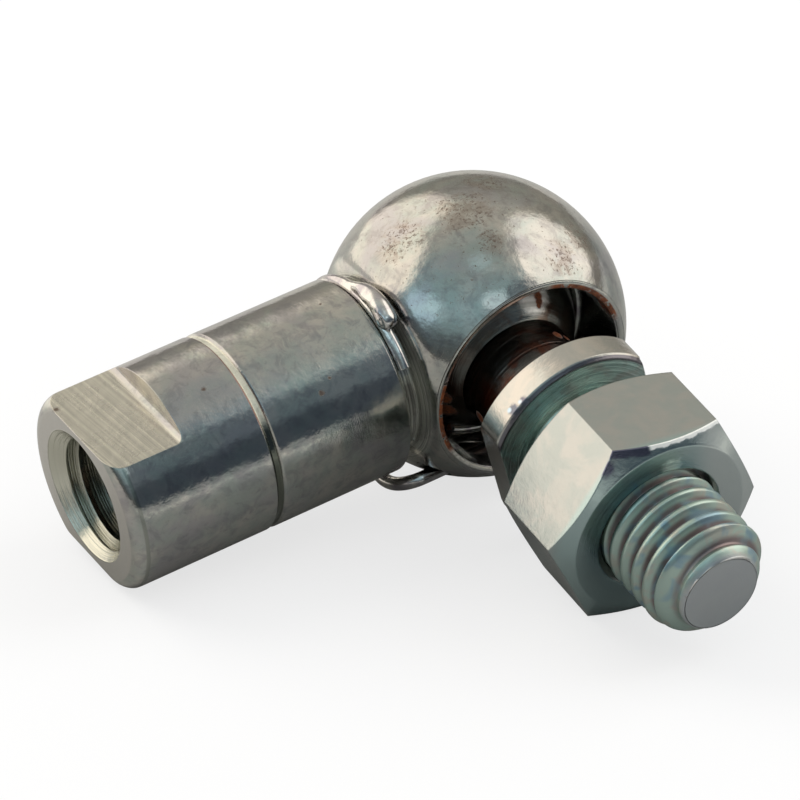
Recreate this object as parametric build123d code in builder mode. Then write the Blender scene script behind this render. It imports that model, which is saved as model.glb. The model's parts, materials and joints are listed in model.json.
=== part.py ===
from build123d import *
import math
import os

# Angle ball joint, ball 16, thread M10. Origin: ball centre. Level frame while drawing: shank toward -X,
# cup opening toward -Y, and the whole joint is then laid down the way it comes to rest. All in mm.

# Head and shank
head_r = 12.0
shank_r = 8.0
shank_end = 35.1
end_round = 1.3
flat_end = 28.8
flat_half = 6.0
flat_root_round = 0.6
line_at = 22.4
line_wide = 0.8
line_deep = 0.25
shoulder_at = 10.6
shoulder_edge = 0.3
neck_r = 6.6
neck_to = 9.25
flank_to = 8.4

# Threaded bore of the shank
bore_r = 4.25
bore_mouth_r = 5.45
bore_deep = 18.0
drill_half_angle = 59.0

# Ball, cup and snap ring
ball_r = 8.0
cup_clear = 0.05
cup_r = ball_r + cup_clear
rim_at = 8.25
rim_edge = 0.1
ring_wire_r = 0.5
ring_clear = 0.035
ring_at = 2.6
ring_r = math.sqrt((ball_r + ring_wire_r + ring_clear) ** 2 - ring_at**2)
ring_gap = 25.0
ring_gap_mid = 227.0
ring_slot_side = 0.075
ring_slot_back = 0.27
ring_slot_r = ring_r + ring_wire_r + ring_slot_back

# Safety clip
clip_r = 0.55
leg_deep = 5.6
leg_down = 7.6
leg_far = 7.0
leg_near = 8.6
leg_hole_r = 1.0
leg_hole_deep = 5.5
leg_hole_down = 7.3
hook_turn = (6.0, 18.0, 32.0, 48.0)
hook_at = (9.85, 10.45, 10.3, 10.0)
hook_in = (0.0, 0.15, 0.7, 1.45)
wrap_at = 10.0
wrap_r = 7.55
wrap_from = 208.0
wrap_end = 54.0
tip_r = 0.74
tip_root_r = 0.4
tip_turn = (-18.0, -4.0, 8.0, 19.0, 25.5)
tip_at = (9.95, 9.85, 9.8, 9.85, 9.95)
tip_out = (7.5, 7.85, 8.25, 8.45, 8.4)

# Ball stud
stud_neck_r = 4.75
stud_neck_round = 0.6
collar_from = 13.2
collar_to = 16.0
collar_r = 8.0
collar_edge = 0.5
collar_flat = 6.5
collar_turn = 12.0
thread_r = 4.95
thread_end = 35.5
thread_tip_r = 3.4
thread_tip_long = 1.9
thread_root_round = 0.4
thread_held_r = 4.75
free_from = 27.4

# Nut
nut_flat = 16.0
nut_from = 18.7
nut_high = 8.4
nut_bore_r = thread_held_r + 0.05
nut_mouth_r = 5.4
nut_turn = -7.92
nut_face_r = 7.4
nut_corner_r = nut_flat / math.sqrt(3)
nut_drop = (nut_corner_r - nut_face_r) * math.tan(math.radians(30))

# How far the stud leans in its cup
lean_to_shank = 2.1
lean_down = 2.7

# The joint lies on three points: the head, the edge where the lower flat stops, and one nut corner
leaning = Rotation(lean_down, 0, 0) * Rotation(0, 0, -lean_to_shank)
low_angle = math.radians(nut_turn - 60)
low_z = nut_from + nut_high - nut_drop
low_corner = Location((nut_corner_r * math.cos(low_angle), -low_z, nut_corner_r * math.sin(low_angle)))
low = (leaning * low_corner).position
shank_drop = math.asin(head_r / math.hypot(flat_end, shank_r)) - math.atan2(shank_r, flat_end)
low_share = (-head_r - low.X * math.sin(shank_drop)) / math.cos(shank_drop) / math.hypot(low.Y, low.Z)
side_roll = math.atan2(low.Y, low.Z) + math.acos(low_share)
lying = Rotation(0, -math.degrees(shank_drop), 0) * Rotation(math.degrees(side_roll), 0, 0)

# Planes. In the turning planes the sketch X runs along or out from the axis the part is turned about
level_plane = Plane(lying)
shank_plane = Plane(lying * Plane(origin=(0, 0, 0), x_dir=(1, 0, 0), z_dir=(0, -1, 0)).location)
cup_plane = Plane(lying * Plane(origin=(0, 0, 0), x_dir=(1, 0, 0), z_dir=(0, 0, -1)).location)
stud_lie = lying * leaning
stud_plane = Plane(stud_lie * Plane(origin=(0, 0, 0), x_dir=(1, 0, 0), z_dir=(0, 0, -1)).location)
stud_face = Plane(stud_lie * Plane(origin=(0, 0, 0), x_dir=(1, 0, 0), z_dir=(0, -1, 0)).location)
shank_axis = Axis((0, 0, 0), shank_plane.x_dir)
cup_axis = Axis((0, 0, 0), cup_plane.y_dir)
stud_axis = Axis((0, 0, 0), stud_plane.y_dir)

os.makedirs("parts", exist_ok=True)


def roundShank(x):
    # Radius of the head's sphere at a place along the shank axis
    return math.sqrt(head_r**2 - x**2)


# Ball socket: outside turned about the shank axis
with BuildPart() as ball_socket:
    with BuildSketch(shank_plane) as outside:
        with BuildLine():
            Line((head_r, 0), (-shank_end, 0))
            Line((-shank_end, 0), (-shank_end, shank_r - end_round))
            RadiusArc(
                (-shank_end, shank_r - end_round),
                (-shank_end + end_round, shank_r),
                end_round,
            )
            Polyline(
                (-shank_end + end_round, shank_r),
                (-line_at - line_wide / 2, shank_r),
                (-line_at - line_wide / 4, shank_r - line_deep),
                (-line_at + line_wide / 4, shank_r - line_deep),
                (-line_at + line_wide / 2, shank_r),
                (-shoulder_at - shoulder_edge, shank_r),
                (-shoulder_at, shank_r - shoulder_edge),
                (-shoulder_at, neck_r),
                (-neck_to, neck_r),
                (-flank_to, roundShank(flank_to)),
            )
            ThreePointArc((-flank_to, roundShank(flank_to)), (0, head_r), (head_r, 0))
        make_face()
    revolve(axis=shank_axis)

    # Threaded bore with its countersunk mouth and drill point
    with BuildSketch(shank_plane) as bore:
        with BuildLine():
            Polyline(
                (-shank_end, 0),
                (-shank_end, bore_mouth_r),
                (-shank_end + bore_mouth_r - bore_r, bore_r),
                (-shank_end + bore_deep, bore_r),
                (-shank_end + bore_deep + bore_r / math.tan(math.radians(drill_half_angle)), 0),
                close=True,
            )
        make_face()
    revolve(axis=shank_axis, mode=Mode.SUBTRACT)

    # Wrench flats above and below the shank's end
    with BuildSketch(shank_plane) as flats:
        with Locations((-(shank_end + flat_end) / 2, 0)):
            Rectangle(shank_end - flat_end, 2 * shank_r)
        with Locations((-(shank_end + flat_end) / 2, 0)):
            Rectangle(shank_end - flat_end, 2 * flat_half, mode=Mode.SUBTRACT)
    extrude(amount=shank_r, both=True, mode=Mode.SUBTRACT)
    flat_roots = ball_socket.edges().filter_by(GeomType.LINE)
    flat_roots = flat_roots.filter_by_position(shank_axis, -flat_end - 0.01, -flat_end + 0.01)
    fillet(flat_roots, flat_root_round)

    # Cup: seat, bore, ring slot and the cut that leaves the thin rim
    with BuildSketch(cup_plane) as cup:
        with BuildLine():
            ThreePointArc(
                (0, -cup_r),
                (cup_r * math.cos(math.radians(45)), -cup_r * math.sin(math.radians(45))),
                (cup_r, 0),
            )
            Polyline(
                (cup_r, 0),
                (cup_r, ring_at - ring_wire_r - ring_slot_side),
                (ring_slot_r, ring_at - ring_wire_r - ring_slot_side),
                (ring_slot_r, ring_at + ring_wire_r + ring_slot_side),
                (cup_r, ring_at + ring_wire_r + ring_slot_side),
                (cup_r, rim_at - rim_edge),
                (cup_r + rim_edge, rim_at),
                (head_r + 1, rim_at),
                (head_r + 1, head_r + 1),
                (0, head_r + 1),
                (0, -cup_r),
            )
        make_face()
    revolve(axis=cup_axis, mode=Mode.SUBTRACT)

    # Cross hole for the leg of the clip, from the neck through both walls
    with BuildSketch(Plane(lying * Plane.YZ.offset(-wrap_at).location)) as leg_hole:
        with Locations((-leg_hole_deep, -leg_hole_down)):
            Circle(leg_hole_r)
    extrude(amount=wrap_at + head_r, mode=Mode.SUBTRACT)

ball_socket.part.label = "ball_socket"
export_step(ball_socket.part, "parts/ball_socket.step")

# Snap ring: open ring of round wire
with BuildPart() as snap_ring:
    ring_start = Plane(cup_plane.location * Rotation(0, ring_gap_mid + ring_gap / 2, 0))
    with BuildSketch(ring_start) as ring_section:
        with Locations((ring_r, ring_at)):
            Circle(ring_wire_r)
    revolve(axis=cup_axis, revolution_arc=360 - ring_gap)
snap_ring.part.label = "snap_ring"
export_step(snap_ring.part, "parts/snap_ring.step")


def aroundShank(x, r, azimuth):
    # Azimuth 0 is the top of the shank, 90 the side the cup opens to
    turn = math.radians(azimuth)
    return (x, -r * math.sin(turn), r * math.cos(turn))


# Safety clip: leg across the cup, hook out of the cross hole, then round the neck from below and behind
leg_azimuth = math.degrees(math.atan2(leg_deep, -leg_down))
leg_r = math.hypot(leg_deep, leg_down)
wrap_mid = (wrap_from + 360 + wrap_end) / 2
hook = [aroundShank(-leg_near, leg_r, leg_azimuth)]
for turn, at, inward in zip(hook_turn, hook_at, hook_in):
    hook.append(aroundShank(-at, leg_r - inward, leg_azimuth + turn))
hook.append(aroundShank(-wrap_at, wrap_r, wrap_from))
with BuildPart() as safety_clip:
    with BuildLine(level_plane) as clip_line:
        leg_line = Line((leg_far, -leg_deep, -leg_down), hook[0])
        wrap_line = ThreePointArc(
            hook[-1],
            aroundShank(-wrap_at, wrap_r, wrap_mid),
            aroundShank(-wrap_at, wrap_r, 360 + wrap_end),
        )
        Spline(*hook, tangents=(leg_line % 1, wrap_line % 0), tangent_scalars=(1, 1))
    with BuildSketch(Plane(origin=leg_line @ 0, z_dir=leg_line % 0)) as clip_section:
        Circle(clip_r)
    sweep(path=clip_line.line)

    # The lifted tip swells out of the strand and lies over it on the head's side
    with BuildLine(level_plane) as tip_line:
        tip = [aroundShank(-at, r, turn) for turn, at, r in zip(tip_turn, tip_at, tip_out)]
        Spline(*tip)
    with BuildSketch(Plane(origin=tip_line.line @ 0, z_dir=tip_line.line % 0)) as tip_root:
        Circle(tip_root_r)
    with BuildSketch(Plane(origin=tip_line.line @ 1, z_dir=tip_line.line % 1)) as tip_end:
        Circle(tip_r)
    sweep(path=tip_line.line, sections=[tip_root.sketch, tip_end.sketch], multisection=True)
    with Locations(Location(tip_line.line @ 1)):
        Sphere(tip_r)
safety_clip.part.label = "safety_clip"
export_step(safety_clip.part, "parts/safety_clip.step")

# Ball stud: ball, neck, collar and thread turned in one piece
with BuildPart() as ball_stud:
    with BuildSketch(stud_plane) as stud_outline:
        with BuildLine():
            neck_meets = math.sqrt(ball_r**2 - stud_neck_r**2)
            ThreePointArc((0, -ball_r), (ball_r, 0), (stud_neck_r, neck_meets))
            Polyline(
                (stud_neck_r, neck_meets),
                (stud_neck_r, collar_from),
                (collar_r, collar_from),
                (collar_r, collar_to - collar_edge),
                (collar_r - collar_edge, collar_to),
                (thread_held_r + thread_root_round, collar_to),
            )
            RadiusArc(
                (thread_held_r + thread_root_round, collar_to),
                (thread_held_r, collar_to + thread_root_round),
                thread_root_round,
            )
            Polyline(
                (thread_held_r, collar_to + thread_root_round),
                (thread_held_r, free_from - thread_r + thread_held_r),
                (thread_r, free_from),
                (thread_r, thread_end - thread_tip_long),
                (thread_tip_r, thread_end),
                (0, thread_end),
                (0, -ball_r),
            )
        make_face()
    revolve(axis=stud_axis)
    neck_circles = ball_stud.edges().filter_by(GeomType.CIRCLE)
    fillet([e for e in neck_circles if abs(e.radius - stud_neck_r) < 0.01], stud_neck_round)
    with BuildSketch(stud_face.offset(collar_from)) as collar_flats:
        Circle(collar_r + 1)
        Rectangle(4 * collar_r, 2 * collar_flat, rotation=collar_turn + 90, mode=Mode.SUBTRACT)
    extrude(amount=collar_to - collar_from, mode=Mode.SUBTRACT)
ball_stud.part.label = "ball_stud"
export_step(ball_stud.part, "parts/ball_stud.step")

# Hexagon nut, both faces chamfered
with BuildPart() as hex_nut:
    with BuildSketch(stud_face.offset(nut_from)) as hexagon:
        RegularPolygon(nut_corner_r, 6, rotation=nut_turn)
    extrude(amount=nut_high)
    with BuildSketch(stud_plane) as turned:
        with BuildLine():
            Polyline(
                (nut_mouth_r, nut_from),
                (nut_face_r, nut_from),
                (nut_corner_r + 1, nut_from + nut_drop + math.tan(math.radians(30))),
                (nut_corner_r + 1, nut_from + nut_high - nut_drop - math.tan(math.radians(30))),
                (nut_face_r, nut_from + nut_high),
                (nut_mouth_r, nut_from + nut_high),
                (nut_bore_r, nut_from + nut_high - nut_mouth_r + nut_bore_r),
                (nut_bore_r, nut_from + nut_mouth_r - nut_bore_r),
                close=True,
            )
        make_face()
    revolve(axis=stud_axis, mode=Mode.INTERSECT)
hex_nut.part.label = "hex_nut"
export_step(hex_nut.part, "parts/hex_nut.step")
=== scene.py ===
import json
import math

import bmesh
import bpy
from mathutils import Matrix, Vector


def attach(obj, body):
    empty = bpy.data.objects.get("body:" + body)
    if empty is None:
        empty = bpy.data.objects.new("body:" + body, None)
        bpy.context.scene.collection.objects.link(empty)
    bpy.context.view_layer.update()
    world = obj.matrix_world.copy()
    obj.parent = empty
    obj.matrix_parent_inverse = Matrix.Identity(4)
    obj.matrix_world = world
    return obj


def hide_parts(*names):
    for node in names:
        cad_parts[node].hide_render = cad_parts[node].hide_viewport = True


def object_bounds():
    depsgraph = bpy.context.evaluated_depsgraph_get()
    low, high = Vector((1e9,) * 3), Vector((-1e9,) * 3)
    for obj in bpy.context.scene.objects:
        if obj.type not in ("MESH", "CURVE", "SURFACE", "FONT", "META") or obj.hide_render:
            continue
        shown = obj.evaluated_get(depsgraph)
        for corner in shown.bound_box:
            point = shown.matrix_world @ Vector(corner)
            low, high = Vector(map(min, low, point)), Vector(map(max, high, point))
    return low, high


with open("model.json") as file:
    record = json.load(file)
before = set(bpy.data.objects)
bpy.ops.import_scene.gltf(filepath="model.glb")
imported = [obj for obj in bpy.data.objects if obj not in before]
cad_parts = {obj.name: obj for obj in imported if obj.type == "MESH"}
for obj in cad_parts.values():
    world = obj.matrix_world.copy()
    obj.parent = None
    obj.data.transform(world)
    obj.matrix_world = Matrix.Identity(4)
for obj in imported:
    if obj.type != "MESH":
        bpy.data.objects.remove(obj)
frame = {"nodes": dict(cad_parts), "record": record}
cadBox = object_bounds()
record = frame["record"]
nodes = frame["nodes"]
joints = {j["name"]: j for j in record["behaviour"]["joints"]}
mounts = {m["name"]: m for m in record["mounts"]}

# The three directions the joint is built on, and the centre of its ball
mm = 0.001
ballCentre = Vector(joints["stud_swing"]["pos_m"])
shankOut = Vector(mounts["shank_thread"]["axis"]).normalized()
cupOut = Vector(joints["stud_turn"]["axis"]).normalized()
studOut = Vector(joints["nut_turn"]["axis"]).normalized()
print("frame loaded:", ", ".join(nodes))


def axisMatrix(out, side):
    # Local Z runs along out, local X towards side, origin at the ball's centre
    z = out.normalized()
    x = (side - z * side.dot(z)).normalized()
    m = Matrix((x, z.cross(x), z)).transposed().to_4x4()
    m.translation = ballCentre
    return m


shankFrame = axisMatrix(shankOut, cupOut)  # up is +Y
cupFrame = axisMatrix(cupOut, shankOut)  # up is -Y
studFrame = axisMatrix(studOut, shankOut)  # up is -Y

# Angles in degrees, distance and aim in metres, lens in millimetres
view = {
    "azimuth": -32.350,
    "elevation": 30.428,
    "roll": 0.916,
    "distance": 0.413474,
    "aim": (-0.00635, 0.000395, -0.005217),
    "lens": 238.278,
}


def outward(azimuth, elevation):
    # Azimuth 0 looks from the side the stud points to, 90 from the head's end
    a, e = math.radians(azimuth), math.radians(elevation)
    return Vector((math.sin(a) * math.cos(e), -math.cos(a) * math.cos(e), math.sin(e)))


def addCamera():
    data = bpy.data.cameras.new("viewCamera")
    data.lens = view["lens"]
    data.sensor_width = 36
    data.clip_start = 0.01
    camera = bpy.data.objects.new("viewCamera", data)
    back = outward(view["azimuth"], view["elevation"])
    turn = back.to_track_quat("Z", "Y").to_matrix()
    turn = turn @ Matrix.Rotation(math.radians(view["roll"]), 3, "Z")
    spot = Vector(view["aim"]) + back * view["distance"]
    camera.matrix_world = Matrix.LocRotScale(spot, turn, None)
    bpy.context.collection.objects.link(camera)
    bpy.context.scene.camera = camera


addCamera()


def treeOf(material):
    material.use_nodes = True
    tree = material.node_tree
    tree.nodes.clear()
    return tree


def plug(tree, kind, inputs=None, **settings):
    # One node: settings are its own values, inputs are numbers, colours or other nodes' outputs
    node = tree.nodes.new(kind)
    for name, value in settings.items():
        setattr(node, name, value)
    for name, value in (inputs or {}).items():
        if isinstance(value, bpy.types.NodeSocket):
            tree.links.new(value, node.inputs[name])
        else:
            node.inputs[name].default_value = value
    return node


def calc(tree, work, a, b=0.0, c=0.0):
    return plug(tree, "ShaderNodeMath", {0: a, 1: b, 2: c}, operation=work).outputs[0]


def times(tree, a, b):
    return calc(tree, "MULTIPLY", a, b)


def plus(tree, base, value, share=1.0):
    # The base with a share of value on top
    return calc(tree, "MULTIPLY_ADD", value, share, base)


def both(tree, *masks):
    result = masks[0]
    for mask in masks[1:]:
        result = times(tree, result, mask)
    return result


def either(tree, *masks):
    result = masks[0]
    for mask in masks[1:]:
        result = calc(tree, "MAXIMUM", result, mask)
    return result


def measure(tree, work, where, other):
    # One number from two vectors, such as their distance or how far one runs along the other
    return plug(tree, "ShaderNodeVectorMath", {0: where, 1: other}, operation=work).outputs["Value"]


def rise(tree, value, low, high, a=0.0, b=1.0):
    # Goes smoothly from a to b while value goes from low to high
    reach = {"Value": value, "From Min": low, "From Max": high, "To Min": a, "To Max": b}
    return plug(tree, "ShaderNodeMapRange", reach, interpolation_type="SMOOTHSTEP").outputs[0]


def within(tree, value, low, high, soft):
    above = rise(tree, value, low - soft, low)
    return both(tree, above, rise(tree, value, high, high + soft, 1.0, 0.0))


def colour4(c):
    return c if isinstance(c, bpy.types.NodeSocket) or len(c) == 4 else (*c, 1)


def blendColour(tree, share, a, b):
    inputs = {0: share, 6: colour4(a), 7: colour4(b)}
    return plug(tree, "ShaderNodeMix", inputs, data_type="RGBA").outputs[2]


def ramp(tree, value, stops, how="LINEAR"):
    node = plug(tree, "ShaderNodeValToRGB", {"Fac": value})
    node.color_ramp.interpolation = how
    marks = node.color_ramp.elements
    while len(marks) < len(stops):
        marks.new(0.5)
    for mark, (place, colour) in zip(marks, stops):
        mark.position = place
        mark.color = colour4(colour)
    return node.outputs["Color"]


def noise(tree, where, size, detail=3.0, rough=0.5, twist=0.0):
    grain = {"Scale": 1 / size, "Detail": detail, "Roughness": rough, "Distortion": twist}
    return plug(tree, "ShaderNodeTexNoise", {"Vector": where, **grain}).outputs["Fac"]


def lines(tree, value, size, detail=3.0, rough=0.6):
    # Uneven lines of about that size, side by side along one coordinate
    grain = {"W": value, "Scale": 1 / size, "Detail": detail, "Roughness": rough}
    return plug(tree, "ShaderNodeTexNoise", grain, noise_dimensions="1D").outputs["Fac"]


def placeFrom(tree, axes):
    # Object coordinates in millimetres turned into a piece's own axes
    inward = axes.inverted()
    turned = plug(tree, "ShaderNodeMapping", {
        "Vector": plug(tree, "ShaderNodeTexCoord").outputs["Object"],
        "Location": [v / mm for v in inward.translation],
        "Rotation": inward.to_euler(),
        "Scale": (1 / mm, 1 / mm, 1 / mm),
    }).outputs[0]
    x, y, z = plug(tree, "ShaderNodeSeparateXYZ", {0: turned}).outputs
    radius = calc(tree, "SQRT", plus(tree, times(tree, y, y), x, x))
    return {"all": turned, "x": x, "y": y, "z": z, "r": radius}


def patch(tree, place, centre, size, ragged=0.4, grain=0.35):
    # A soft blot about a point, size is its radius, with a ragged edge
    edge = noise(tree, place["all"], grain, 4.0, 0.65)
    away = plus(tree, measure(tree, "DISTANCE", place["all"], centre), edge, ragged * size * 3)
    return rise(tree, away, size * (0.6 + ragged * 1.2), size * (1.1 + ragged * 1.8), 1.0, 0.0)


def patches(tree, place, spots, ragged=0.4, grain=0.35):
    return either(tree, *[patch(tree, place, centre, size, ragged, grain)
                          for centre, size in spots])


def newMetal(name, axes):
    material = bpy.data.materials.new(name)
    tree = treeOf(material)
    return material, tree, placeFrom(tree, axes)


def closeMetal(tree, colour, rough, height, depth, edge, bare):
    # Fine relief over softly rounded edges; bare falls to 0 where rust or dirt hides the metal, and
    # where a painted highlight is made less metallic
    softEdge = plug(tree, "ShaderNodeBevel", {"Radius": edge * mm}, samples=6).outputs[0]
    relief = {"Height": height, "Strength": 1.0, "Distance": depth * mm, "Normal": softEdge}
    bump = plug(tree, "ShaderNodeBump", relief).outputs[0]
    looks = {"Base Color": colour, "Metallic": bare, "Roughness": rough, "Normal": bump}
    shader = plug(tree, "ShaderNodeBsdfPrincipled", looks)
    plug(tree, "ShaderNodeOutputMaterial", {"Surface": shader.outputs[0]})


def dress(piece, material):
    piece.data.materials.clear()
    piece.data.materials.append(material)


def markSharp(mesh, sharpAngle):
    limit = math.radians(sharpAngle)
    for face in mesh.faces:
        face.smooth = True
    for edge in mesh.edges:
        edge.smooth = not (len(edge.link_faces) == 2 and edge.calc_face_angle(0) > limit)


def meshPiece(name, mesh, sharpAngle=30):
    bmesh.ops.recalc_face_normals(mesh, faces=mesh.faces)
    data = bpy.data.meshes.new(name)
    markSharp(mesh, sharpAngle)
    mesh.to_mesh(data)
    mesh.free()
    piece = bpy.data.objects.new(name, data)
    bpy.context.collection.objects.link(piece)
    return piece


# Lengths in millimetres and angles in degrees, here and in the next pieces.
# Places along the shank are counted from the ball's centre.
socket = {
    "shankEnd": 35.1,
    "flatAt": 28.8,
    "flatHalf": 6.0,
    # Thread of the bore: root radius, where it starts and how it runs out at its inner end
    "boreRootR": 5.02,
    "boreTo": 18.4,
    "pitch": 1.5,
    "threadTurn": 120,
    "threadSteps": 96,
    "cutterR": 4.0,
    "grooveHalf": 0.66,
    "rootHalf": 0.10,
    "runOutTurns": 0.7,
    "runOutSink": 1.1,
    # Zones of the finish: from and to along the shank, or radii about the cup's axis
    "line": (22.16, 22.66),
    "lineSide": (22.72, 22.82),
    # The ring near the end is painted shade
    "paintedEndRingShade": (34.02, 34.2),
    "neck": (8.85, 10.5),
    "rim": (8.0, 8.8),
    "rimMiddle": 8.38,
    # Tints
    "tint": (0.55, 0.53, 0.49),
    "greenTint": (0.43, 0.465, 0.435),
    "plumTint": (0.43, 0.41, 0.425),
    "smudgeTint": (0.29, 0.285, 0.30),
    "grainTint": (0.30, 0.26, 0.23),
    "flatTints": ((0.46, 0.445, 0.40), (0.60, 0.585, 0.51)),
    "endTint": (0.56, 0.545, 0.52),
    # Painted shade of the ring near the end
    "ringTint": (0.33, 0.34, 0.31),
    # Painted shade in the bore, darkest furthest in
    "boreShadeTints": ((0.0, (0.16, 0.13, 0.11)), (0.6, (0.34, 0.34, 0.29)), (1.0, (0.64, 0.64, 0.56))),
    "neckTints": ((0.22, 0.22, 0.19), (0.66, 0.67, 0.58)),
    "paleRimTint": (0.80, 0.78, 0.70),
    # Painted highlight on top of the line round the shank, painted shade below it
    "lineHighlightShadeTints": ((0.17, 0.18, 0.15), (0.72, 0.70, 0.58)),
    "lineSideTint": (0.32, 0.17, 0.14),
    "hazeTint": (0.40, 0.33, 0.27),
    "rust": (0.24, 0.070, 0.018),
    "darkRust": (0.095, 0.026, 0.009),
    "stain": (0.11, 0.065, 0.045),
    "rough": 0.055,
    # Small brown stains: centre in the shank's own axes and radius
    "stains": [((-3.6, 5.9, 34.8), 0.28), ((5.9, 5.4, 17.2), 0.26), ((5.3, 5.9, 16.1), 0.20),
               ((-0.4, 8.0, 13.2), 0.14), ((2.6, 7.6, 25.4), 0.22)],
    # Where the brown freckles gather on the head, centre and radius
    "freckles": [((-0.7, 10.5, 5.7), 2.3), ((0.6, 12.0, 0.6), 2.7), ((4.2, 11.2, 0.6), 1.5),
                 ((-2.0, 11.3, -3.0), 2.0), ((6.8, 9.0, -4.2), 1.9), ((5.0, 8.6, -7.0), 1.6)],
    # Rust along the cup's rim: from and to, 0 towards the shank and 90 up, and how deep it starts
    "rimRust": [(108, 160, 6.5), (-22, 20, 6.0)],
}


def boreCutter():
    # A helical groove, wider at the bore than at its root, that runs out shallow at the bottom
    mesh = bmesh.new()
    steps = socket["threadSteps"]
    low, high = socket["boreTo"], socket["shankEnd"] + socket["pitch"]
    root, half = socket["boreRootR"], socket["rootHalf"]
    section = [(socket["cutterR"], -socket["grooveHalf"]), (root, -half),
               (root, half), (socket["cutterR"], socket["grooveHalf"])]
    turns = (high - low) / socket["pitch"]
    rows = []
    for k in range(int(turns * steps) + 1):
        way = 2 * math.pi * k / steps + math.radians(socket["threadTurn"])
        z = low + socket["pitch"] * k / steps
        sink = max(0.0, 1 - k / steps / socket["runOutTurns"]) * socket["runOutSink"]
        points = [Vector(((r - sink) * math.cos(way), (r - sink) * math.sin(way), z + h))
                  for r, h in section]
        rows.append([mesh.verts.new(shankFrame @ (p * mm)) for p in points])
    for a, b in zip(rows, rows[1:]):
        for i in range(4):
            mesh.faces.new((a[i], a[(i + 1) % 4], b[(i + 1) % 4], b[i]))
    mesh.faces.new(rows[0])
    mesh.faces.new(rows[-1])
    return meshPiece("boreCutter", mesh)


def buildSocket():
    # The solid's own shape with the bore's thread cut into it
    piece = bpy.data.objects.new("threadedSocket", nodes["ball_socket"].data.copy())
    bpy.context.collection.objects.link(piece)
    cutter = boreCutter()
    cut = piece.modifiers.new("boreThread", "BOOLEAN")
    cut.operation = "DIFFERENCE"
    cut.solver = "EXACT"
    cut.object = cutter
    bpy.context.view_layer.update()
    shown = piece.evaluated_get(bpy.context.evaluated_depsgraph_get())
    done = bpy.data.meshes.new_from_object(shown)
    piece.modifiers.clear()
    piece.data = done
    bpy.data.objects.remove(cutter)
    mesh = bmesh.new()
    mesh.from_mesh(done)
    bmesh.ops.remove_doubles(mesh, verts=mesh.verts, dist=1e-7)
    markSharp(mesh, 28)
    mesh.to_mesh(done)
    mesh.free()
    return piece


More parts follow.
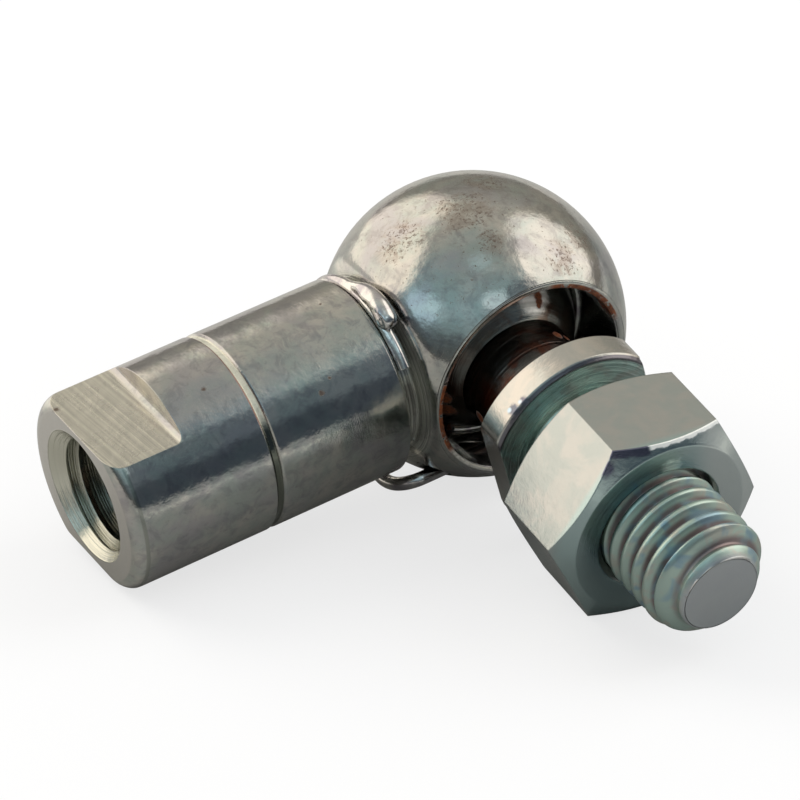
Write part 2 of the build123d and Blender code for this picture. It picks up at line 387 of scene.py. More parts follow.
def socketMetal():
    material, tree, place = newMetal("greyZincTurned", shankFrame)
    where, x, y, z, r = (place[k] for k in ("all", "x", "y", "z", "r"))
    cloud = noise(tree, where, 3.0, 4.0, 0.6, 0.4)
    drift = noise(tree, where, 5.5, 3.0, 0.6, 0.8)
    smudge = noise(tree, where, 1.4, 6.0, 0.7, 0.6)
    fine = noise(tree, where, 0.22, 4.0, 0.7)
    speck = noise(tree, where, 0.30, 5.0, 0.75)

    # Where on the piece: the shank, its end, the flats, the bore, the neck and the cup's rim
    end, half = socket["shankEnd"], socket["flatHalf"]
    high = calc(tree, "ABSOLUTE", y)
    onShank = rise(tree, z, 10.0, 10.6)
    onEnd = rise(tree, z, end - 0.06, end - 0.02)
    onFlat = both(tree, rise(tree, z, socket["flatAt"] + 0.1, socket["flatAt"] + 0.6),
                  rise(tree, high, half - 0.03, half - 0.01),
                  rise(tree, high, half + 0.05, half + 0.2, 1.0, 0.0))
    inBore = both(tree, rise(tree, r, 5.50, 5.40), rise(tree, z, 14.0, 15.0))
    nearNeck = within(tree, z, *socket["neck"], 0.25)
    cupR = calc(tree, "SQRT", plus(tree, times(tree, z, z), y, y))
    cupTurn = calc(tree, "DEGREES", calc(tree, "ARCTAN2", y, z))
    onRim = both(tree, rise(tree, x, 8.18, 8.23), within(tree, cupR, *socket["rim"], 0.05))

    # Turning marks: rings round the shank, round the end face, and wider ones by the neck
    shankLines = lines(tree, z, 0.09, 4.0, 0.7)
    neckLines = lines(tree, calc(tree, "SUBTRACT", r, z), 0.15, 2.0, 0.5)
    endLines = lines(tree, r, 0.15, 3.0, 0.7)
    flatLines = lines(tree, plus(tree, z, x, 0.10), 0.30, 3.0, 0.6)

    colour = blendColour(tree, rise(tree, cloud, 0.35, 0.65), socket["tint"], socket["greenTint"])
    colour = blendColour(tree, rise(tree, drift, 0.45, 0.66, 0.0, 0.8), colour, socket["plumTint"])
    spread = rise(tree, smudge, 0.46, 0.66, 0.0, 0.6)
    colour = blendColour(tree, spread, colour, socket["smudgeTint"])
    grain = rise(tree, fine, 0.56, 0.72, 0.0, 0.35)
    colour = blendColour(tree, grain, colour, socket["grainTint"])
    streaks = blendColour(tree, rise(tree, flatLines, 0.40, 0.70), *socket["flatTints"])
    colour = blendColour(tree, onFlat, colour, streaks)
    colour = blendColour(tree, onEnd, colour, socket["endTint"])
    offFlat = rise(tree, high, half + 0.05, half - 0.15)
    # Painted shade: a dark ring round the shank near its end, off the flats
    paintedEndRingShade = both(tree, within(tree, z, *socket["paintedEndRingShade"], 0.12), offFlat)
    colour = blendColour(tree, paintedEndRingShade, colour, socket["ringTint"])
    # Painted shade: the bore is darker further in
    bore = ramp(tree, rise(tree, z, 29.0, 34.4), socket["boreShadeTints"], "EASE")
    colour = blendColour(tree, inBore, colour, bore)
    neck = blendColour(tree, rise(tree, neckLines, 0.42, 0.58), *socket["neckTints"])
    colour = blendColour(tree, times(tree, nearNeck, 0.7), colour, neck)

    # The thin rim is pale along its lower side
    pale = both(tree, onRim, rise(tree, cupR, 8.5, 8.3), rise(tree, y, -1.5, -4.0),
                rise(tree, smudge, 0.3, 0.5, 0.4, 1.0))
    colour = blendColour(tree, pale, colour, socket["paleRimTint"])

    # The line round the shank is painted pale on top as a highlight and dark below as shade
    above = rise(tree, y, 4.4, 5.6)
    inLine = within(tree, z, *socket["line"], 0.06)
    lineSide = both(tree, within(tree, z, *socket["lineSide"], 0.05), above)
    colour = blendColour(tree, inLine, colour, blendColour(tree, above, *socket["lineHighlightShadeTints"]))
    colour = blendColour(tree, lineSide, colour, socket["lineSideTint"])
    # Where the painted highlight lies, the metal is made less metallic
    paintedLineSheen = both(tree, inLine, above, rise(tree, smudge, 0.30, 0.55, 0.3, 0.75))

    # Brown freckles over the top of the head, a few stains, and rust along the thin rim
    overHead = both(tree, rise(tree, z, 8.3, 7.0), rise(tree, y, 4.0, 8.0))
    dense = either(tree, times(tree, overHead, 0.25),
                   patches(tree, place, socket["freckles"], 0.25, 1.2))
    haze = both(tree, dense, rise(tree, smudge, 0.40, 0.60, 0.0, 0.5))
    colour = blendColour(tree, haze, colour, socket["hazeTint"])
    coarse = noise(tree, where, 0.62, 5.0, 0.7, 0.5)
    small = both(tree, rise(tree, plus(tree, speck, dense, 0.10), 0.62, 0.70, 0.0, 0.75),
                 rise(tree, z, 9.6, 8.4, 0.12, 1.0))
    bigger = both(tree, rise(tree, plus(tree, coarse, dense, 0.08), 0.62, 0.72),
                  rise(tree, dense, 0.3, 0.6, 0.0, 0.6))
    stains = times(tree, patches(tree, place, socket["stains"], 0.6, 0.3), 0.85)
    freckles = either(tree, small, bigger, stains)
    colour = blendColour(tree, freckles, colour, socket["stain"])
    crust = rise(tree, noise(tree, where, 0.9, 5.0, 0.65), 0.36, 0.44)
    ledge = both(tree, crust, within(tree, cupR, 7.9, 8.40, 0.12))
    rust = either(tree, *[both(tree, ledge, within(tree, cupTurn, start, stop, 8),
                               rise(tree, x, deep, deep + 0.4))
                          for start, stop, deep in socket["rimRust"]])
    rustTint = blendColour(tree, rise(tree, speck, 0.4, 0.6), socket["rust"], socket["darkRust"])
    colour = blendColour(tree, rust, colour, rustTint)

    # Relief: the turning marks, a rounded rim, and low waves over all
    height = times(tree, both(tree, shankLines, onShank), 0.30)
    height = plus(tree, height, neckLines, times(tree, nearNeck, 0.7))
    height = plus(tree, height, flatLines, times(tree, onFlat, 1.2))
    height = plus(tree, height, endLines, plus(tree, times(tree, onEnd, 0.8), inBore, 4.5))
    offMiddle = calc(tree, "MULTIPLY_ADD", cupR, 3.0, -3 * socket["rimMiddle"])
    bulge = calc(tree, "POWER", calc(tree, "ABSOLUTE", offMiddle), 2.0)
    height = plus(tree, height, times(tree, bulge, onRim), -9.0)
    height = plus(tree, height, noise(tree, where, 1.6, 4.0, 0.52), 4.0)
    height = plus(tree, height, fine, 0.22)
    rough = plus(tree, socket["rough"], cloud, 0.16)
    rough = plus(tree, rough, onFlat, 0.14)
    rough = plus(tree, rough, rust, 0.5)
    rough = plus(tree, rough, freckles, 0.3)
    hidden = either(tree, times(tree, rust, 0.95), times(tree, freckles, 0.25),
                    times(tree, pale, 0.6), paintedLineSheen, times(tree, nearNeck, 0.22))
    closeMetal(tree, colour, rough, height, 0.012, 0.12, calc(tree, "SUBTRACT", 1.0, hidden))
    return material


socketPiece = buildSocket()
dress(socketPiece, socketMetal())
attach(socketPiece, "socket")
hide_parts("ball_socket")
print("socket:", len(socketPiece.data.polygons), "faces")

# Places along the stud are counted from the ball's centre
stud = {
    "segments": 144,
    "ballSteps": 64,
    "ballR": 8.0,
    "neckR": 4.75,
    "neckFillet": 0.6,
    "collarFrom": 13.2,
    "collarTo": 16.0,
    "collarR": 8.0,
    "collarBreak": 0.25,
    "collarEdge": 0.28,
    "collarFlat": 6.5,
    "collarTurn": 12,
    "plainR": 4.6,
    "plainFillet": 0.35,
    # Thread: the nut holds it as far as freeFrom, and the grooves fade over the chamfer
    "threadFrom": 17.0,
    "threadTo": 35.5,
    "pitch": 1.5,
    "threadTurn": 262,
    "runIn": 0.8,
    "heldR": 4.74,
    "freeFrom": 27.2,
    "freeOver": 0.3,
    "majorR": 4.95,
    "minorR": 4.12,
    "tipR": 3.2,
    "tipLong": 1.9,
    "grooveLeft": 0.1,
    "grooveFade": 1.8,
    # Tints
    "tint": (0.53, 0.525, 0.495),
    "warmTint": (0.60, 0.565, 0.52),
    "crestTints": ((0.50, 0.62, 0.56), (0.55, 0.57, 0.51)),
    "blueTint": (0.28, 0.43, 0.54),
    # The roots' tints hold painted shade as well as the zinc's brown and blue
    "rootShadeTints": ((0.29, 0.235, 0.235), (0.28, 0.35, 0.39)),
    "seatTints": ((0.54, 0.73, 0.69), (0.48, 0.53, 0.50)),
    # Painted shade along the collar's edge
    "edgeShadeTint": (0.20, 0.19, 0.21),
    "tipTints": ((0.60, 0.62, 0.62), (0.54, 0.55, 0.58)),
    "neckTints": ((0.30, 0.27, 0.25), (0.30, 0.13, 0.09)),
    "ballTints": ((0.26, 0.27, 0.25), (0.20, 0.15, 0.12)),
    # Painted shade on the ball's side towards the shank
    "ballShadeTint": (0.07, 0.065, 0.06),
    # Painted highlight on the ball's turned rings
    "paintedShineTints": ((0.62, 0.62, 0.57), (1.0, 1.0, 0.95)),
    "rustTints": ((0.24, 0.070, 0.018), (0.095, 0.026, 0.009)),
    # The painted highlight of turned rings on the ball: centre in the stud's own axes and radius
    "shine": ((-2.4, -5.6, 5.1), 1.7),
    # Painted glints and painted shade where the collar's edge is knocked: centre in the stud's own
    # axes, radius, tint
    "knockGlints": [((5.65, -5.66, 15.5), 0.50, (0.20, 0.21, 0.25)),
              ((5.85, -5.45, 15.2), 0.22, (0.55, 0.68, 0.80)),
              ((4.9, -6.3, 15.7), 0.40, (0.22, 0.21, 0.25)),
              ((5.1, -6.15, 15.5), 0.2, (0.60, 0.68, 0.76))],
    # Spots of rust: centre in the stud's own axes and radius
    "rustSpots": [((-2.85, -5.35, 5.15), 0.50), ((-2.75, -5.1, 5.5), 0.42),
                  ((-2.6, -4.95, 5.75), 0.28), ((-2.6, -4.0, 8.5), 0.45),
                  ((-3.3, -3.4, 8.6), 0.3), ((5.6, 2.4, 5.2), 0.9),
                  ((5.8, 0.9, 5.3), 0.7), ((4.6, 0.8, 8.9), 0.6)],
}


def threadProfile(pitch, major, minor):
    # Heights along one pitch with the radius at each: flat crest, straight flanks, rounded root
    crest = [(0.0, 0.0), (0.12, 0.0), (0.20, 0.05), (0.27, 0.18)]
    root = [(0.46, 0.10), (0.51, 0.02), (0.56, 0.0), (0.61, 0.02), (0.66, 0.10)]
    nextCrest = [(0.85, 0.18), (0.92, 0.05)]
    return ([(share * pitch, major - down) for share, down in crest]
            + [(share * pitch, minor + up) for share, up in root]
            + [(share * pitch, major - down) for share, down in nextCrest])


def studOutline():
    # Radius and place of each ring from the ball's pole to the start of the thread
    ballR, neckR, plainR = stud["ballR"], stud["neckR"], stud["plainR"]
    low, high, edge = stud["collarFrom"], stud["collarTo"], stud["collarEdge"]
    collarR, slope = stud["collarR"], stud["collarBreak"]
    fillet, foot = stud["neckFillet"], stud["plainFillet"]
    steps = stud["ballSteps"]
    meet = math.asin(neckR / ballR)
    angles = [math.pi - (math.pi - meet) * k / steps for k in range(1, steps + 1)]
    outline = [(ballR * math.sin(a), ballR * math.cos(a)) for a in angles]
    outline += [(neckR, z) for z in (7.2, 9.0, 11.0, low - fillet)]
    outline += [(neckR + fillet * (1 - math.cos(a)), low - fillet + fillet * math.sin(a))
                for a in (0.4, 0.8, 1.2, math.pi / 2)]
    outline += [(6.4, low), (collarR - slope, low), (collarR, low + slope)]
    outline += [(collarR, low + 1.0), (collarR, low + 1.8), (collarR, high - edge)]
    outline += [(collarR - edge, high), (7.0, high), (6.2, high), (5.4, high)]
    outline += [(plainR + foot * (1 - math.sin(a)), high + foot * (1 - math.cos(a)))
                for a in (0.0, 0.5, 1.0, math.pi / 2)]
    outline.append((plainR, stud["threadFrom"] - 0.2))
    return outline


def threadRadius(z, r):
    # The profile's radius r at z, less where the thread runs in, is held by the nut or ends
    runIn = min(1, max(0, (z - stud["threadFrom"]) / stud["runIn"]))
    r = stud["plainR"] + (r - stud["plainR"]) * runIn
    z = min(z, stud["threadTo"])
    free = min(1, max(0, (z - stud["freeFrom"]) / stud["freeOver"]))
    widest = stud["heldR"] + (stud["majorR"] - stud["heldR"]) * free
    toEnd = stud["threadTo"] - z
    cone = stud["tipR"] + toEnd * (stud["majorR"] - stud["tipR"]) / stud["tipLong"]
    if cone < stud["majorR"]:
        # On the chamfer the grooves go on, getting shallower towards the end
        left = min(1, stud["grooveLeft"] + toEnd / stud["grooveFade"])
        r = cone - (stud["majorR"] - r) * left
    return min(r, widest)


def buildStud():
    mesh = bmesh.new()
    n = stud["segments"]
    flatWay = math.radians(stud["collarTurn"])
    flat = Vector((math.cos(flatWay), math.sin(flatWay), 0))

    def point(r, a, z):
        return Vector((r * math.cos(a), r * math.sin(a), z))

    def vert(p):
        return mesh.verts.new(studFrame @ (p * mm))

    def ring(r, z, inCollar):
        row = []
        for k in range(n):
            p = point(r, 2 * math.pi * k / n, z)
            if inCollar:
                over = p.dot(flat)
                p -= flat * (over - max(-stud["collarFlat"], min(stud["collarFlat"], over)))
            row.append(vert(p))
        return row

    base = vert(Vector((0, 0, -stud["ballR"])))
    rows = [ring(r, z, stud["collarFrom"] <= z <= stud["collarTo"]) for r, z in studOutline()]
    for k in range(n):
        mesh.faces.new((base, rows[0][(k + 1) % n], rows[0][k]))
    for low, high in zip(rows, rows[1:]):
        for k in range(n):
            mesh.faces.new((low[k], low[(k + 1) % n], high[(k + 1) % n], high[k]))

    # Thread: each row follows the helix, so that crests and roots are true lines
    pitch, start = stud["pitch"], stud["threadFrom"] - stud["pitch"]
    turns = int((stud["threadTo"] - stud["threadFrom"]) / pitch) + 3
    phase = math.radians(stud["threadTurn"])

    def threadPoint(turn, offset, r, k):
        z = start + (turn + k / n) * pitch + offset
        r = threadRadius(z, r)
        z = min(max(z, stud["threadFrom"] - 0.2), stud["threadTo"])
        return vert(point(r, 2 * math.pi * k / n + phase, z))

    profile = threadProfile(pitch, stud["majorR"], stud["minorR"])
    helix = [[threadPoint(turn, offset, r, k) for k in range(n + 1)]
             for turn in range(turns) for offset, r in profile]
    for low, high in zip(helix, helix[1:]):
        for k in range(n):
            mesh.faces.new((low[k], low[k + 1], high[k + 1], high[k]))
    tip = ring(stud["tipR"], stud["threadTo"], False)
    centre = vert(Vector((0, 0, stud["threadTo"])))
    for k in range(n):
        mesh.faces.new((tip[k], tip[(k + 1) % n], centre))
    bmesh.ops.remove_doubles(mesh, verts=mesh.verts, dist=1e-6)
    bmesh.ops.dissolve_degenerate(mesh, edges=mesh.edges, dist=1e-7)
    return meshPiece("turnedStud", mesh, 28)


def studMetal():
    material, tree, place = newMetal("blueZincTurned", studFrame)
    where, z, r = place["all"], place["z"], place["r"]
    cloud = noise(tree, where, 2.2, 4.0, 0.6, 0.5)
    fine = noise(tree, where, 0.2, 4.0, 0.7)
    collarTo, threadTo, majorR = stud["collarTo"], stud["threadTo"], stud["majorR"]

    # Where on the piece: the ball, the neck, the collar's seat, the thread and the end face
    onBall = rise(tree, z, 8.3, 7.2)
    onNeck = both(tree, rise(tree, z, 6.2, 6.6), rise(tree, z, 13.15, 13.0))
    onSeat = both(tree, rise(tree, z, collarTo - 0.05, collarTo - 0.01),
                  rise(tree, r, 7.8, 7.6), rise(tree, z, 16.6, 16.2))
    onThread = rise(tree, z, 16.6, 17.2)
    onTip = rise(tree, z, threadTo - 0.50, threadTo - 0.02)
    slope = (majorR - stud["tipR"]) / stud["tipLong"]
    coneR = calc(tree, "MULTIPLY_ADD", z, -slope, majorR + (threadTo - stud["tipLong"]) * slope)
    sunk = calc(tree, "SUBTRACT", calc(tree, "MINIMUM", coneR, majorR), r)

    # Thin blue zinc shows teal on the seat and the crests, brown and blue in the roots, which are
    # also darkened as painted shade
    colour = blendColour(tree, rise(tree, cloud, 0.40, 0.62), stud["tint"], stud["warmTint"])
    seat = blendColour(tree, rise(tree, cloud, 0.45, 0.62), *stud["seatTints"])
    colour = blendColour(tree, onSeat, colour, seat)
    coolRoots = rise(tree, noise(tree, where, 2.0, 2.0, 0.5, 0.5), 0.46, 0.66)
    root = blendColour(tree, coolRoots, *stud["rootShadeTints"])
    crest = blendColour(tree, rise(tree, cloud, 0.48, 0.60), *stud["crestTints"])
    blue = rise(tree, noise(tree, where, 2.1, 2.0, 0.5, 0.5), 0.52, 0.68, 0.0, 0.75)
    crest = blendColour(tree, blue, crest, stud["blueTint"])
    thread = blendColour(tree, rise(tree, sunk, 0.60, 0.28), root, crest)
    colour = blendColour(tree, onThread, colour, thread)
    colour = blendColour(tree, onTip, colour, blendColour(tree, cloud, *stud["tipTints"]))
    neck = blendColour(tree, rise(tree, cloud, 0.46, 0.60), *stud["neckTints"])
    colour = blendColour(tree, onNeck, colour, neck)

    # The ball is dull and brown, with one painted highlight of turned rings and painted shade on
    # the shank's side
    bands = rise(tree, lines(tree, r, 0.55, 2.0, 0.5), 0.42, 0.58)
    shine = patch(tree, place, *stud["shine"], 0.2, 0.8)
    dull = blendColour(tree, rise(tree, cloud, 0.42, 0.6), *stud["ballTints"])
    ball = blendColour(tree, shine, dull, blendColour(tree, bands, *stud["paintedShineTints"]))
    shade = rise(tree, place["x"], -0.6, 1.8, 0.0, 0.75)
    ball = blendColour(tree, shade, ball, stud["ballShadeTint"])
    colour = blendColour(tree, rise(tree, z, 7.0, 6.4), colour, ball)

    # The collar's edge has painted shade, with painted glints and shade where it is knocked, and
    # rust sits on ball and neck
    edge = both(tree, rise(tree, r, 7.45, 7.6), within(tree, z, collarTo - 0.17, collarTo, 0.03))
    colour = blendColour(tree, edge, colour, stud["edgeShadeTint"])
    for centre, size, tint in stud["knockGlints"]:
        colour = blendColour(tree, patch(tree, place, centre, size, 0.5, 0.6), colour, tint)
    rust = patches(tree, place, stud["rustSpots"], 0.3, 0.5)
    rustTint = blendColour(tree, rise(tree, fine, 0.4, 0.6), *stud["rustTints"])
    colour = blendColour(tree, rust, colour, rustTint)

    # Relief: rings round the stud and on its faces, and low waves over all
    around = lines(tree, z, 0.13, 3.0, 0.7)
    across = lines(tree, r, 0.14, 3.0, 0.7)
    turned = plus(tree, plus(tree, 0.4, onBall, 1.2), onNeck, 1.4)
    turned = times(tree, turned, rise(tree, z, 16.2, 16.0, 0.2, 1.0))
    height = times(tree, around, turned)
    height = plus(tree, height, across, plus(tree, times(tree, onTip, 0.8), onSeat, 4.0))
    height = plus(tree, height, noise(tree, where, 1.1, 3.0, 0.55), 2.2)
    height = plus(tree, height, fine, 0.6)
    rough = plus(tree, 0.12, cloud, 0.14)
    rough = plus(tree, rough, onThread, 0.20)
    rough = plus(tree, rough, rust, 0.4)
    # The painted highlight is made less metallic
    hidden = either(tree, times(tree, rust, 0.9), times(tree, shine, 0.8))
    closeMetal(tree, colour, rough, height, 0.012, 0.10, calc(tree, "SUBTRACT", 1.0, hidden))
    return material


studPiece = buildStud()
dress(studPiece, studMetal())
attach(studPiece, "stud")
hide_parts("ball_stud")
print("stud:", len(studPiece.data.polygons), "faces")

nut = {
    "from": 18.7,
    "high": 8.4,
    # The corners' chamfer: radius where it meets the face, and its fall for each mm outwards
    "faceR": 7.4,
    "fall": 0.577,
    # Square to the upper side, where the corner has a painted highlight
    "upperSide": (-0.137, -0.99, 0),
    "tint": (0.49, 0.49, 0.475),
    "coolTint": (0.445, 0.475, 0.465),
    "tealTint": (0.42, 0.54, 0.54),
    # Tint of the painted shade along the corner
    "plumTint": (0.13, 0.12, 0.20),
    # Painted shade on the face
    "faceShadeTint": (0.12, 0.19, 0.21),
    "paleTint": (0.60, 0.63, 0.62),
    "glintTint": (0.90, 1.0, 0.96),
    # Painted highlight along the corner
    "edgeHighlightTint": (0.95, 0.97, 0.93),
    # A painted glint on the face and a spot of painted shade on the corner: centre in the stud's
    # axes, radius
    "glint": ((-1.0, -5.6, 26.9), 0.9),
    "cornerShadeSpot": ((4.3, -7.4, 26.3), 0.75),
}


def nutMetal():
    material, tree, place = newMetal("zincNut", studFrame)
    where, x, y, z, r = (place[k] for k in ("all", "x", "y", "z", "r"))
    top = nut["from"] + nut["high"]
    cloud = noise(tree, where, 2.6, 4.0, 0.6, 0.4)
    fine = noise(tree, where, 0.25, 4.0, 0.7)
    onFace = rise(tree, z, top - 0.12, top - 0.03)
    chamfer = both(tree, rise(tree, r, 7.3, 7.5), rise(tree, z, top - 1.2, top - 0.5))
    colour = blendColour(tree, rise(tree, cloud, 0.38, 0.62), nut["tint"], nut["coolTint"])
    teal = times(tree, either(tree, onFace, chamfer), 0.85)
    colour = blendColour(tree, teal, colour, nut["tealTint"])

    # Painted shade: the face is darker on the shank's side and next to the thread
    shade = both(tree, onFace, rise(tree, r, 7.5, 5.3), rise(tree, x, -5.0, 2.0),
                 rise(tree, y, 3.5, -1.0, 0.35, 0.85))
    colour = blendColour(tree, shade, colour, nut["faceShadeTint"])
    pale = both(tree, rise(tree, z, top - 1.2, top - 0.6), rise(tree, x, -2.5, -5.0, 0.0, 0.8))
    colour = blendColour(tree, pale, colour, nut["paleTint"])
    glint = times(tree, patch(tree, place, *nut["glint"], 0.5, 0.5), 0.8)
    colour = blendColour(tree, glint, colour, nut["glintTint"])

    # Along the upper side the corner has a painted highlight, with painted shade where it ends
    coneTop = top + nut["fall"] * nut["faceR"]
    offCone = calc(tree, "SUBTRACT", plus(tree, z, r, nut["fall"]), coneTop)
    offCone = calc(tree, "ABSOLUTE", offCone)
    over = measure(tree, "DOT_PRODUCT", where, nut["upperSide"])
    ragged = plus(tree, over, noise(tree, where, 0.7, 4.0, 0.65), 0.5)
    paintedEdgeHighlight = both(tree, rise(tree, offCone, 0.14, 0.07), rise(tree, ragged, 7.92, 8.06),
                within(tree, x, -5.6, 0.5, 0.4))
    dark = both(tree, rise(tree, offCone, 0.16, 0.08), rise(tree, ragged, 7.55, 7.85),
                within(tree, x, 0.9, 4.4, 0.4))
    spot = both(tree, rise(tree, offCone, 0.2, 0.1),
                patch(tree, place, *nut["cornerShadeSpot"], 0.4, 0.6))
    dark = times(tree, either(tree, dark, spot), 0.85)
    colour = blendColour(tree, dark, colour, nut["plumTint"])
    colour = blendColour(tree, paintedEdgeHighlight, colour, nut["edgeHighlightTint"])

    height = both(tree, lines(tree, r, 0.16, 3.0, 0.7), onFace)
    height = plus(tree, height, noise(tree, where, 1.6, 4.0, 0.6), 1.8)
    height = plus(tree, height, fine, 0.6)
    rough = plus(tree, 0.13, cloud, 0.16)
    # The painted highlight is made less metallic
    closeMetal(tree, colour, rough, height, 0.012, 0.16, plus(tree, 1.0, paintedEdgeHighlight, -0.7))
    return material


dress(nodes["hex_nut"], nutMetal())

wire = {
    "ringTint": (0.78, 0.79, 0.75),
    "clipTint": (0.70, 0.685, 0.66),
    "plumTint": (0.48, 0.45, 0.48),
    "rust": (0.24, 0.070, 0.018),
    # Rust on the snap ring: centre in the cup's own axes and radius
    "rustSpots": [((4.3, 6.7, 2.2), 0.8)],
    # The clip's lifted tip: how much thicker, from which turn round the neck to which,
    # how far out it starts and how near the neck it ends, each with its soft edge
    "tipSwell": 0.22,
    "tipTurn": (40, 100, 15),
    "tipOut": (8.0, 0.5),
    "tipNear": 10.4,
}


def wireMetal(name, axes, tint, rough, rustSpots=()):
    material, tree, place = newMetal(name, axes)
    cloud = noise(tree, place["all"], 1.4, 4.0, 0.6, 0.6)
    fine = noise(tree, place["all"], 0.16, 4.0, 0.7)
    colour = blendColour(tree, rise(tree, cloud, 0.42, 0.62), tint, wire["plumTint"])
    height = plus(tree, times(tree, fine, 0.5), noise(tree, place["all"], 0.7, 3.0, 0.55), 1.6)
    bare = 1.0
    if rustSpots:
        rust = patches(tree, place, rustSpots)
        colour = blendColour(tree, rust, colour, wire["rust"])
        bare = plus(tree, 1.0, rust, -0.9)
    closeMetal(tree, colour, plus(tree, rough, cloud, 0.14), height, 0.010, 0.06, bare)
    return material


def swellClip():
    # The lifted tip of the clip is a little thicker than its strand
    piece = bpy.data.objects.new("bentClip", nodes["safety_clip"].data.copy())
    bpy.context.collection.objects.link(piece)
    mesh = bmesh.new()
    mesh.from_mesh(piece.data)
    bmesh.ops.remove_doubles(mesh, verts=mesh.verts, dist=1e-7)
    bmesh.ops.recalc_face_normals(mesh, faces=mesh.faces)
    inward = shankFrame.inverted()
    start, stop, softTurn = wire["tipTurn"]
    outFrom, softOut = wire["tipOut"]
    for vert in mesh.verts:
        p = inward @ vert.co / mm
        turn = math.degrees(math.atan2(p.y, p.x))
        share = min(1, max(0, (math.hypot(p.x, p.y) - outFrom) / softOut))
        share *= min(1, max(0, (stop - turn) / softTurn))
        share *= turn > start and p.z < wire["tipNear"]
        vert.co += vert.normal * share * wire["tipSwell"] * mm
    markSharp(mesh, 40)
    mesh.to_mesh(piece.data)
    mesh.free()
    return piece


clipPiece = swellClip()
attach(clipPiece, "socket")
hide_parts("safety_clip")
ringWire = wireMetal("ringWire", cupFrame, wire["ringTint"], 0.13, wire["rustSpots"])
dress(nodes["snap_ring"], ringWire)
dress(clipPiece, wireMetal("clipWire", shankFrame, wire["clipTint"], 0.08))
print("metals done")

studio = {
    "floorTint": (0.93, 0.93, 0.93),
    "floorWhite": 0.72,
    "floorHalf": 6.0,
    "worldLevel": 0.62,
    # Lamps: azimuth, elevation, power and colour, all at one distance and of one size
    "lamps": [
        ("keyLamp", -150, 40, 3.4, (1.0, 0.96, 0.9)),
        ("sideLamp", 80, 40, 2.4, (0.95, 0.98, 1.0)),
    ],
    "lampAway": 0.8,
    "lampSize": 0.6,
    # The card under the joint, from the front to behind it, in reflections only: place and tint
    "card": [(-70, (0.42, 0.43, 0.425)), (-20, (0.33, 0.34, 0.33)),
             (25, (0.52, 0.51, 0.48)), (90, (0.62, 0.60, 0.56))],
    "cardWay": (-0.42, 0.9, 0),
    # Its bright blot behind the shank: centre in metres, full as far as the first radius and
    # gone at the second
    "cardGlow": (0.62, 0.58, 0.50),
    "glowAt": (-0.044, 0.070, 0),
    "glowReach": (24, 48),
    # The bright strip along its near edge: which way the edge is, from and to and soft edge
    "cardEdge": (0.62, 0.59, 0.50),
    "edgeWay": (0.375, -0.927, 0),
    "edgeAt": (66, 78, 3),
    "tentRadius": 1.5,
    # The tent's cloth by height, 0 at the floor and 1 overhead
    "tentFront": [(0.0, (0.12, 0.12, 0.115)), (0.12, (0.11, 0.13, 0.135)),
                  (0.25, (0.15, 0.185, 0.20)), (0.42, (0.30, 0.40, 0.43)),
                  (0.62, (0.40, 0.57, 0.63)), (0.85, (0.39, 0.49, 0.51)),
                  (1.0, (0.46, 0.50, 0.48))],
    "tentBack": [(0.0, (0.30, 0.28, 0.25)), (0.15, (0.36, 0.345, 0.30)),
                 (0.45, (0.44, 0.425, 0.37)), (0.75, (0.62, 0.60, 0.53)),
                 (0.92, (0.62, 0.60, 0.54)), (1.0, (0.46, 0.50, 0.48))],
    # Pale and dark flags, windows and small glints on the tent:
    # azimuth, elevation, half width, half height, softness, colour
    "tentPanels": [
        (21, 34, 32, 16, 0.8, (0.165, 0.205, 0.235)),  # pale flag
        (21, 10, 32, 15, 0.7, (0.072, 0.090, 0.112)),  # dark flag
        (-151, 24, 37, 33, 0.30, (1.62, 1.49, 1.30)),  # left window
        (76, 36, 27, 27, 0.35, (1.62, 1.54, 1.42)),  # right window
        (-80, 33, 13, 9, 0.8, (0.72, 1.00, 1.12)),  # left glint
        (-10, 45, 9, 6, 0.8, (0.85, 1.05, 1.12)),  # front glint
        (-20, 75, 7, 5, 0.8, (0.60, 0.72, 0.75)),  # top glint
    ],
}


def addStage(name, mesh, material, **seenBy):
    piece = meshPiece(name, mesh)
    dress(piece, material)
    for ray in ("camera", "diffuse", "glossy", "transmission", "shadow"):
        setattr(piece, "visible_" + ray, seenBy.get(ray, True))
    return piece


def seenShare(tree):
    # 1 for what the camera, a reflection or glass sees, 0 for light that falls on the object
    path = plug(tree, "ShaderNodeLightPath").outputs
    return either(tree, path["Is Camera Ray"], path["Is Glossy Ray"], path["Is Transmission Ray"])


def addFloor():
    mesh = bmesh.new()
    bmesh.ops.create_grid(mesh, x_segments=1, y_segments=1, size=studio["floorHalf"])
    material = bpy.data.materials.new("paleFloor")
    tree = treeOf(material)
    cloth = plug(tree, "ShaderNodeBsdfDiffuse", {"Color": colour4(studio["floorTint"])})
    white = plug(tree, "ShaderNodeEmission", {"Color": (1, 1, 1, 1), "Strength": 1.0})
    share = times(tree, seenShare(tree), studio["floorWhite"])
    mixed = plug(tree, "ShaderNodeMixShader", {0: share, 1: cloth.outputs[0], 2: white.outputs[0]})
    plug(tree, "ShaderNodeOutputMaterial", {"Surface": mixed.outputs[0]})
    floor = addStage("floor", mesh, material)
    floor.location.z = cadBox[0][2]


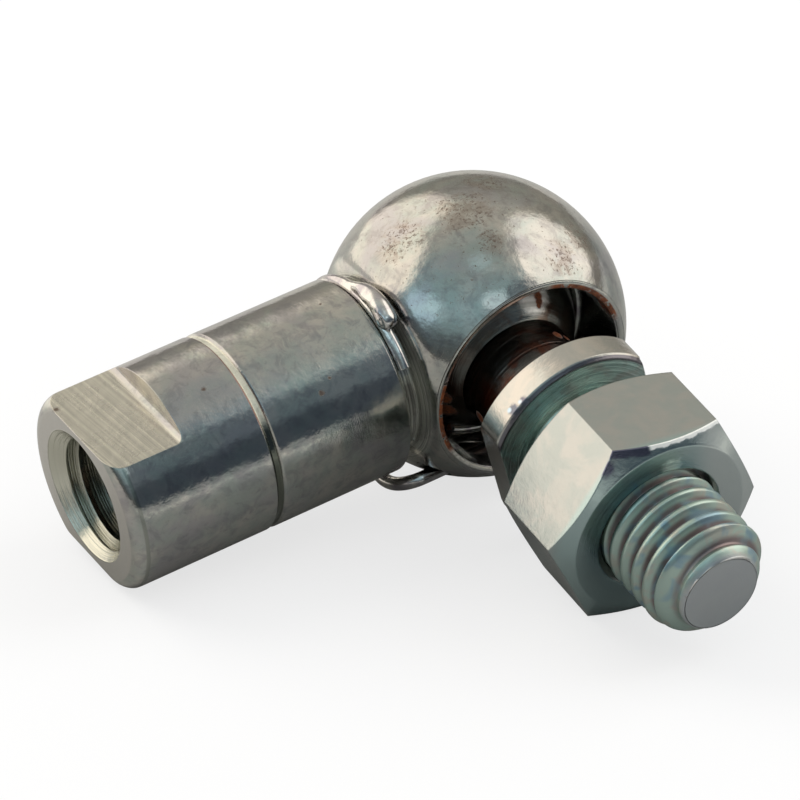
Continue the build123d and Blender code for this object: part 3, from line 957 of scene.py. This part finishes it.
def addCard():
    # A grey card on the floor that only reflections see
    mesh = bmesh.new()
    bmesh.ops.create_circle(mesh, cap_ends=True, segments=64, radius=studio["tentRadius"])
    material = bpy.data.materials.new("greyCard")
    tree = treeOf(material)
    spot = plug(tree, "ShaderNodeTexCoord").outputs["Object"]
    back = measure(tree, "DOT_PRODUCT", spot, studio["cardWay"])
    first, last = studio["card"][0][0], studio["card"][-1][0]
    long = last - first
    along = calc(tree, "MULTIPLY_ADD", back, 1 / long / mm, -first / long)
    tint = ramp(tree, along, [((v - first) / long, shade) for v, shade in studio["card"]])
    cloth = plug(tree, "ShaderNodeBsdfDiffuse", {"Color": tint})
    away = measure(tree, "DISTANCE", spot, studio["glowAt"])
    full, none = studio["glowReach"]
    glow = rise(tree, away, none * mm, full * mm)
    lit = blendColour(tree, glow, (0, 0, 0), studio["cardGlow"])
    ahead = measure(tree, "DOT_PRODUCT", spot, studio["edgeWay"])
    strip = within(tree, ahead, *[v * mm for v in studio["edgeAt"]])
    lit = blendColour(tree, strip, lit, studio["cardEdge"])
    shine = plug(tree, "ShaderNodeEmission", {"Color": lit, "Strength": 1.0})
    card = plug(tree, "ShaderNodeAddShader", {0: cloth.outputs[0], 1: shine.outputs[0]})
    plug(tree, "ShaderNodeOutputMaterial", {"Surface": card.outputs[0]})
    material.cycles.emission_sampling = "NONE"
    card = addStage("greyCard", mesh, material, camera=False, diffuse=False, shadow=False)
    card.location.z = cadBox[0][2] + 0.02 * mm


def panelMask(tree, way, azimuth, elevation, wide, high, soft):
    # A soft rounded rectangle on the tent, seen from its middle
    middle = outward(azimuth, elevation)
    right = Vector((math.cos(math.radians(azimuth)), math.sin(math.radians(azimuth)), 0))
    up = middle.cross(right) * -1

    def cubed(axis, half):
        share = measure(tree, "DOT_PRODUCT", way, axis / math.sin(math.radians(half)))
        return calc(tree, "POWER", calc(tree, "ABSOLUTE", share), 3.0)

    spread = calc(tree, "ADD", cubed(right, wide), cubed(up, high))
    facing = rise(tree, measure(tree, "DOT_PRODUCT", way, middle), 0.0, 0.2)
    return both(tree, rise(tree, spread, 1 + soft * 1.5, 1 - soft), facing)


def addTent():
    # A cloth tent with bright windows, flags and glints, which only reflections see
    mesh = bmesh.new()
    bmesh.ops.create_uvsphere(mesh, u_segments=96, v_segments=48, radius=studio["tentRadius"])
    material = bpy.data.materials.new("tentCloth")
    tree = treeOf(material)
    spot = plug(tree, "ShaderNodeTexCoord").outputs["Object"]
    way = plug(tree, "ShaderNodeVectorMath", {0: spot}, operation="NORMALIZE").outputs[0]
    height = plug(tree, "ShaderNodeSeparateXYZ", {0: way}).outputs[2]
    front = rise(tree, measure(tree, "DOT_PRODUCT", way, outward(-40, 0)), -0.25, 0.35)
    cloth = blendColour(tree, front, ramp(tree, height, studio["tentBack"]),
                        ramp(tree, height, studio["tentFront"]))
    for *shape, tint in studio["tentPanels"]:
        cloth = blendColour(tree, panelMask(tree, way, *shape), cloth, tint)
    glow = plug(tree, "ShaderNodeEmission", {"Color": cloth, "Strength": 1.0})
    plug(tree, "ShaderNodeOutputMaterial", {"Surface": glow.outputs[0]})
    material.cycles.emission_sampling = "NONE"
    addStage("lightTent", mesh, material, camera=False, diffuse=False, shadow=False)


def addLamps():
    for name, azimuth, elevation, power, tint in studio["lamps"]:
        data = bpy.data.lights.new(name, "AREA")
        data.size = studio["lampSize"]
        data.energy = power
        data.color = tint
        lamp = bpy.data.objects.new(name, data)
        spot = outward(azimuth, elevation) * studio["lampAway"]
        turn = (spot - ballCentre).to_track_quat("Z", "Y")
        lamp.matrix_world = Matrix.LocRotScale(spot, turn, None)
        lamp.visible_glossy = False
        bpy.context.collection.objects.link(lamp)


def addWorld():
    world = bpy.data.worlds.new("studioWorld")
    bpy.context.scene.world = world
    world.use_nodes = True
    tree = world.node_tree
    tree.nodes.clear()
    level = plus(tree, studio["worldLevel"], seenShare(tree), 1 - studio["worldLevel"])
    sky = plug(tree, "ShaderNodeBackground", {"Color": (1, 1, 1, 1), "Strength": level})
    plug(tree, "ShaderNodeOutputWorld", {"Surface": sky.outputs[0]})


addFloor()
addCard()
addTent()
addLamps()
addWorld()
bpy.context.scene.view_settings.view_transform = "Standard"
print("studio set")
